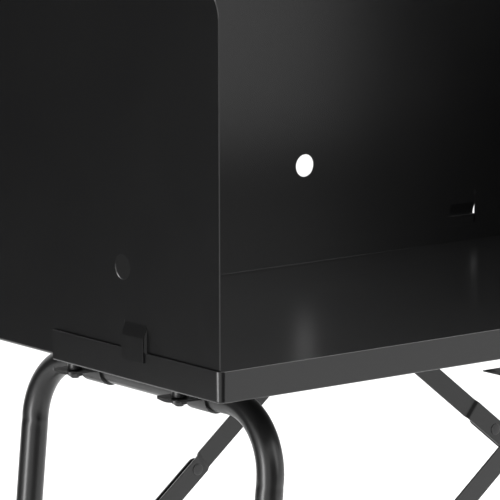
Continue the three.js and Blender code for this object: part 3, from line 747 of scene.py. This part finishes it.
def saddle_clip(name, row):
    """A strap round the tube, whose flanges are bowed: low along the middle, high at both edges."""
    low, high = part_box(f"{name}_{row}_saddle_clip")
    pivot = JOINTS[f"{name}_fold"]
    middle_y = (low.y + high.y) / 2
    path = clip_path(high.z - CLIP_SHEET / 2 - pivot.z)
    distances, at = along_path(path)
    half = CLIP_WIDTH / 2
    end = distances[-1]
    corner = 5 * MM
    row_margin = 0.1 * MM
    squeeze = 0.7 * MM
    squeeze_from = 20 * MM
    squeeze_length = 8 * MM

    def place(a, b):
        (x, z), (nx, nz) = at(a)
        share = smooth_step((abs(x) - squeeze_from) / squeeze_length)
        squeezed = squeeze * math.cos(b / half * math.pi) * share
        return Vector((pivot.x + x, middle_y + b, pivot.z + z - squeezed)), Vector((nx, 0, nz))

    outline = arc_points((corner, -half + corner), corner, 180, 270, CORNER_STEPS)
    outline += arc_points((end - corner, -half + corner), corner, 270, 360, CORNER_STEPS)
    outline += arc_points((end - corner, half - corner), corner, 0, 90, CORNER_STEPS)
    outline += arc_points((corner, half - corner), corner, 90, 180, CORNER_STEPS)
    rows = [((distance, -half), (distance, half)) for distance in distances[1:-1]]
    for i in range(1, CLIP_WIDTH_STEPS):
        across = -half + CLIP_WIDTH * i / CLIP_WIDTH_STEPS
        rows.append(((row_margin, across), (end - row_margin, across)))
    bm = sheet_metal(outline, [], rows, CLIP_SHEET, place)
    add_piece(f"{name}_{row}_saddle_clip", bm, "hearth", f"{name}_{row}_saddle_clip",
              BAR_PAINT, EDGE_ROUND)


def stud(node):
    """A stand-off sleeve under the tray, with its foot in the plate below it. A clip's stud is
    longer, and has a hexagonal nut under the clip."""
    low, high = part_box(node)
    centre = Vector(((low.x + high.x) / 2, (low.y + high.y) / 2, high.z))
    depth = high.z - low.z
    chamfer = 0.5 * MM
    nutted = "clip" in node
    plate = CLIP_SHEET if nutted else BRACKET_SHEET
    sheet_top = depth - plate - CLEARANCE
    if nutted:
        sheet_top = depth - STUD_END - NUT_HEIGHT - 2 * CLEARANCE - plate
    profile = [(0, 0), (0, SLEEVE_RADIUS - chamfer), (chamfer, SLEEVE_RADIUS)]
    profile += [(sheet_top - chamfer, SLEEVE_RADIUS), (sheet_top, SLEEVE_RADIUS - chamfer)]
    profile.append((sheet_top, STUD_RADIUS))
    if nutted:
        nut = depth - STUD_END - NUT_HEIGHT
        profile += [(nut, STUD_RADIUS), (nut, SLEEVE_RADIUS - chamfer), (nut + chamfer, SLEEVE_RADIUS)]
        profile += [(nut + NUT_HEIGHT - chamfer, SLEEVE_RADIUS), (nut + NUT_HEIGHT, SLEEVE_RADIUS - chamfer)]
        profile.append((nut + NUT_HEIGHT, STUD_RADIUS))
        profile += [(depth - chamfer, STUD_RADIUS), (depth, STUD_RADIUS - chamfer), (depth, 0)]
        bm = lathed(profile, centre, (0, 0, -1), 48, (nut, nut + NUT_HEIGHT))
    else:
        profile += [(depth, STUD_RADIUS), (depth, 0)]
        bm = lathed(profile, centre, (0, 0, -1), 48)
    add_piece(node, bm, "hearth", node, FASTENER_PAINT)


# ---- Braces -------------------------------------------------------------------------------------
def bracket(name, row):
    """A plate under the tray whose middle is folded down into the web that carries the brace."""
    node = f"{name}_{row}_bracket"
    low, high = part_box(node)
    pin_low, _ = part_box(f"{name}_{row}_bracket_pin")
    anchor = JOINTS[f"{name}_upper_swing"]
    plate_z = high.z - BRACKET_SHEET / 2
    web_front = pin_low.y + HEAD_HEIGHT + CLEARANCE
    forward = web_front - low.y < high.y - web_front
    web_y = web_front + BRACKET_SHEET / 2
    direction = 1 if forward else -1
    fold_y = web_y + direction * WEB_FOLD
    far_y = high.y if forward else low.y
    width = abs(far_y - fold_y)
    length = high.x - low.x
    flat_fold = WEB_FOLD * math.pi / 2
    drop = plate_z - low.z - WEB_FOLD
    corner = 4 * MM

    def place(a, b):
        along, off, turn = folded(-b, WEB_FOLD)
        point = Vector((anchor.x + a, fold_y - direction * along, plate_z - off))
        return point, Vector((0, -direction * math.sin(turn), math.cos(turn)))

    half = length / 2
    web_half = WEB_LENGTH / 2
    web_end = -flat_fold - drop
    relief = 1.5 * MM
    outline = arc_points((-half + corner, width - corner), corner, 90, 180, CORNER_STEPS)
    outline.append((-half, -relief))
    outline += [(-web_half - relief, -relief), (-web_half, -relief), (-web_half, -flat_fold)]
    outline += arc_points((-web_half / 2, web_end + corner), corner, 200, 270, 4)
    outline += arc_points((web_half / 2, web_end + corner), corner, 270, 340, 4)
    outline += [(web_half, -flat_fold), (web_half, -relief), (web_half + relief, -relief), (half, -relief)]
    outline += arc_points((half - corner, width - corner), corner, 0, 90, CORNER_STEPS)
    rows = [((-web_half, -step), (web_half, -step)) for step in fold_rows(0, WEB_FOLD)]
    hole = circle_points((0, -flat_fold - (plate_z - WEB_FOLD - anchor.z)), PIN_RADIUS + 0.2 * MM, 32)
    bm = sheet_metal(outline, [hole], rows, BRACKET_SHEET, place)
    add_piece(node, bm, "hearth", node, BAR_PAINT, EDGE_ROUND)


def bar_rings(length, joggle, offset_at):
    """Rings along a flat bar with round ends: X along it, Y through it, Z across it."""
    radius = BAR_WIDTH / 2
    half = BAR_SHEET / 2
    blunt = 0.35                # keeps the first ring from shrinking to a point
    stations = []
    for i in range(BAR_END_STEPS + 1):
        turn = math.pi / 2 * (i + blunt) / (BAR_END_STEPS + blunt)
        stations.append((-radius * math.cos(turn), radius * math.sin(turn)))
    round_end = list(stations)
    spread = JOGGLE_LENGTH * 0.75
    for i in range(JOGGLE_STEPS + 1):
        stations.append((joggle - spread + 2 * spread * i / JOGGLE_STEPS, radius))
    stations += [(length - x, across) for x, across in reversed(round_end)]
    rings = []
    for x, across in stations:
        middle = offset_at(x)
        reach = across - BAR_EDGE
        corners = ((1, 1, 0), (-1, 1, 90), (-1, -1, 180), (1, -1, 270))
        ring = []
        for sz, sy, start in corners:
            for y, z in arc_points((0, 0), BAR_EDGE, start, start + 90, 4):
                ring.append((x, middle + sy * (half - BAR_EDGE) + z, sz * max(reach, 0.0) + y))
        rings.append([Vector(point) for point in ring])
    return rings


def placed_bar(name, row, part, rings, start, end):
    """Puts a bar that was made along X between two pins of a brace."""
    heading = (end - start).normalized()
    through = Vector((0, 1, 0))
    turn = Matrix((heading, through, heading.cross(through))).transposed()
    bm = swept([[start + turn @ point for point in ring] for ring in rings])
    node = f"{name}_{row}_{part}_bar"
    add_piece(node, bm, f"{name}_{part}_bars", node, BAR_PAINT)


def elbow_place(name, row):
    low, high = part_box(f"{name}_{row}_elbow_pin")
    return Vector(((low.x + high.x) / 2, 0, (low.z + high.z) / 2))


def brace_bars(name, row):
    anchor = JOINTS[f"{name}_upper_swing"]
    leg_pin = JOINTS[f"{name}_lower_swing"]
    elbow = elbow_place(name, row)
    _, upper_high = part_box(f"{name}_{row}_upper_bar")
    _, pin_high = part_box(f"{name}_{row}_elbow_pin")
    main_y = upper_high.y - BAR_SHEET / 2
    lower_y = pin_high.y + CLEARANCE + BAR_SHEET / 2
    joggle_from_elbow = JOGGLES[name]
    elbow_distance = (elbow - Vector((anchor.x, 0, anchor.z))).length
    joggle = elbow_distance - joggle_from_elbow
    upper_length = elbow_distance + UPPER_TAIL
    lower_reach = joggle_from_elbow - JOGGLE_LENGTH / 2 - JOGGLE_TO_LOWER_BAR
    lower_tail = max(lower_reach - BAR_WIDTH / 2, 0)
    elbow_from_leg = (elbow - Vector((leg_pin.x, 0, leg_pin.z))).length
    lower_length = elbow_from_leg + lower_tail

    def stepped(x):
        return -LAYER_PITCH * smooth_step((x - joggle) / JOGGLE_LENGTH + 0.5)

    upper = bar_rings(upper_length, joggle, stepped)
    lower = bar_rings(lower_length, lower_length / 2, lambda x: 0.0)
    upper_ends = [Vector((point.x, main_y, point.z)) for point in (anchor, elbow)]
    lower_ends = [Vector((point.x, lower_y, point.z)) for point in (leg_pin, elbow)]
    placed_bar(name, row, "upper", upper, *upper_ends)
    placed_bar(name, row, "lower", lower, *lower_ends)
    boss_sink = 0.05 * MM
    boss_start = Vector((elbow.x, lower_y + BAR_SHEET / 2 - boss_sink, elbow.z))
    boss = lathed([(0, 0), *dome(HEAD_HEIGHT * 0.9, HEAD_RADIUS * 0.85)], boss_start, (0, 1, 0))
    add_piece(f"{name}_{row}_elbow_clench", boss, f"{name}_lower_bars", None, FASTENER_PAINT)


def dome(height, radius):
    """A low rivet head's profile, from its rim to its crown on the axis."""
    shoulder = 0.25 * height
    profile = [(0, radius * 0.98), (shoulder, radius)]
    for i in range(1, DOME_STEPS):
        turn = math.pi / 2 * i / DOME_STEPS
        profile.append((shoulder + (height - shoulder) * math.sin(turn), radius * math.cos(turn)))
    return [*profile, (height, 0)]


def pin(node, body, head_height, back_head):
    """A pin with a domed head in front. A leg pin has a second head behind its leg."""
    low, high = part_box(node)
    head_back = Vector(((low.x + high.x) / 2, low.y + head_height, (low.z + high.z) / 2))
    length = high.y - low.y - head_height
    front = [(-along, radius) for along, radius in reversed(dome(head_height, HEAD_RADIUS))]
    profile = [*front, (0, PIN_RADIUS), (length, PIN_RADIUS), (length, 0)]
    if back_head:
        start = length - HEAD_HEIGHT
        back = [(start + along, radius) for along, radius in dome(HEAD_HEIGHT, HEAD_RADIUS * 0.8)]
        profile = [*front, (0, PIN_RADIUS), (start, PIN_RADIUS), *back]
    bm = lathed(profile, head_back, (0, 1, 0))
    add_piece(node, bm, body, node, FASTENER_PAINT)


# ---- The object ---------------------------------------------------------------------------------
def forge():
    hearth_tray()
    back_wall()
    for name, side in SIDES.items():
        side_wall(name, side)
        leg_frame(name)
        for row in ROWS:
            prefix = f"{name}_{row}"
            foot(name, row)
            saddle_clip(name, row)
            bracket(name, row)
            brace_bars(name, row)
            pin(f"{prefix}_bracket_pin", "hearth", HEAD_HEIGHT, False)
            pin(f"{prefix}_elbow_pin", f"{name}_upper_bars", ELBOW_HEAD_HEIGHT, False)
            pin(f"{prefix}_leg_pin", f"{name}_legs", HEAD_HEIGHT, True)
            for end in ("clip_outer", "clip_inner", "bracket_left", "bracket_right"):
                stud(f"{prefix}_{end}_stud")


# ---- Studio -------------------------------------------------------------------------------------
FLOOR_REACH = 60                # metres, far past what the camera sees
FLOOR_DROP = 0.5 * MM           # keeps the floor clear of the soles


def studio_floor():
    bm = bmesh.new()
    bmesh.ops.create_grid(bm, x_segments=8, y_segments=8, size=FLOOR_REACH)
    mesh = bpy.data.meshes.new("studio_floor")
    bm.to_mesh(mesh)
    bm.free()
    mesh.materials.append(pale_floor())
    floor = bpy.data.objects.new("studio_floor", mesh)
    floor.location.z = -FLOOR_DROP
    bpy.context.scene.collection.objects.link(floor)


def studio_flag(name, bearing, distance, half_width, bottom, top):
    """A black upright card at a bearing round the hearth, counted from the front to the left."""
    material, _, _, shader = new_material(f"{name}_cloth")
    shader.inputs["Base Color"].default_value = (0.01, 0.01, 0.01, 1)
    shader.inputs["Roughness"].default_value = 1.0
    bm = bmesh.new()
    bmesh.ops.create_grid(bm, x_segments=4, y_segments=4, size=1.0)
    mesh = bpy.data.meshes.new(name)
    bm.to_mesh(mesh)
    bm.free()
    mesh.materials.append(material)
    flag = bpy.data.objects.new(name, mesh)
    turn = math.radians(bearing)
    flag.location = (-math.sin(turn) * distance, -math.cos(turn) * distance, (bottom + top) / 2)
    flag.rotation_euler = (math.radians(90), 0, -turn)
    flag.scale = (half_width, (top - bottom) / 2, 1)
    flag.visible_camera = False
    bpy.context.scene.collection.objects.link(flag)


def area_light(name, place, target, width, height, power):
    light = bpy.data.lights.new(name, "AREA")
    light.shape = "RECTANGLE"
    light.size = width
    light.size_y = height
    light.energy = power
    lamp = bpy.data.objects.new(name, light)
    lamp.location = place
    lamp.rotation_euler = (Vector(target) - Vector(place)).to_track_quat("-Z", "Y").to_euler()
    bpy.context.scene.collection.objects.link(lamp)


def studio_lights():
    area_light("overhead_softbox", place=(1.9, -0.3, 3.5), target=(0, 0, 0.6),
               width=2.6, height=2.6, power=105)
    area_light("rear_softbox", place=(-0.9, 3.0, 2.9), target=(0, 0, 0.8),
               width=2.4, height=2.0, power=45)
    area_light("front_softbox", place=(1.6, -4.0, 2.4), target=(0, 0, 0.6),
               width=1.6, height=2.4, power=25)
    area_light("left_softbox", place=(-2.6, -0.1, 0.55), target=(0, -0.1, 0.5),
               width=0.6, height=1.2, power=32)
    world = bpy.data.worlds.new("studio_white")
    world.use_nodes = True
    background = world.node_tree.nodes["Background"]
    background.inputs["Color"].default_value = (1, 1, 1, 1)
    background.inputs["Strength"].default_value = 1.15
    bpy.context.scene.world = world


CAMERA_AZIMUTH = 37.436         # degrees, from looking straight at the open front
CAMERA_ELEVATION = 10.181
CAMERA_ROLL = -0.165
CAMERA_FROM_CORNER = Vector((-2.5228, -3.3383, 0.8860))     # from the tray's left front bottom corner


def photo_camera():
    """Far off and with a long lens, a little above the hearth, looking at its left front corner."""
    azimuth = math.radians(CAMERA_AZIMUTH)
    elevation = math.radians(CAMERA_ELEVATION)
    roll = math.radians(CAMERA_ROLL)
    camera = bpy.data.cameras.new("camera")
    camera.lens = 360
    camera.sensor_width = 36
    camera.clip_start = 0.1
    camera.clip_end = 200
    holder = bpy.data.objects.new("camera", camera)
    forward = Vector((math.sin(azimuth) * math.cos(elevation), math.cos(azimuth) * math.cos(elevation),
                      -math.sin(elevation)))
    level = Vector((math.cos(azimuth), -math.sin(azimuth), 0))
    upright = level.cross(forward)
    right = level * math.cos(roll) + upright * math.sin(roll)
    up = upright * math.cos(roll) - level * math.sin(roll)
    turn = Matrix((right, up, -forward)).transposed().to_4x4()
    holder.matrix_world = Matrix.Translation(tray_low + CAMERA_FROM_CORNER) @ turn
    bpy.context.scene.collection.objects.link(holder)
    bpy.context.scene.camera = holder


forge()
studio_floor()
studio_flag("left_flag", bearing=138, distance=2.0, half_width=0.85, bottom=0.14, top=2.8)
studio_flag("camera_flag", bearing=16, distance=1.9, half_width=0.85, bottom=0, top=1.4)
studio_lights()
photo_camera()
bpy.context.scene.view_settings.view_transform = "Standard"
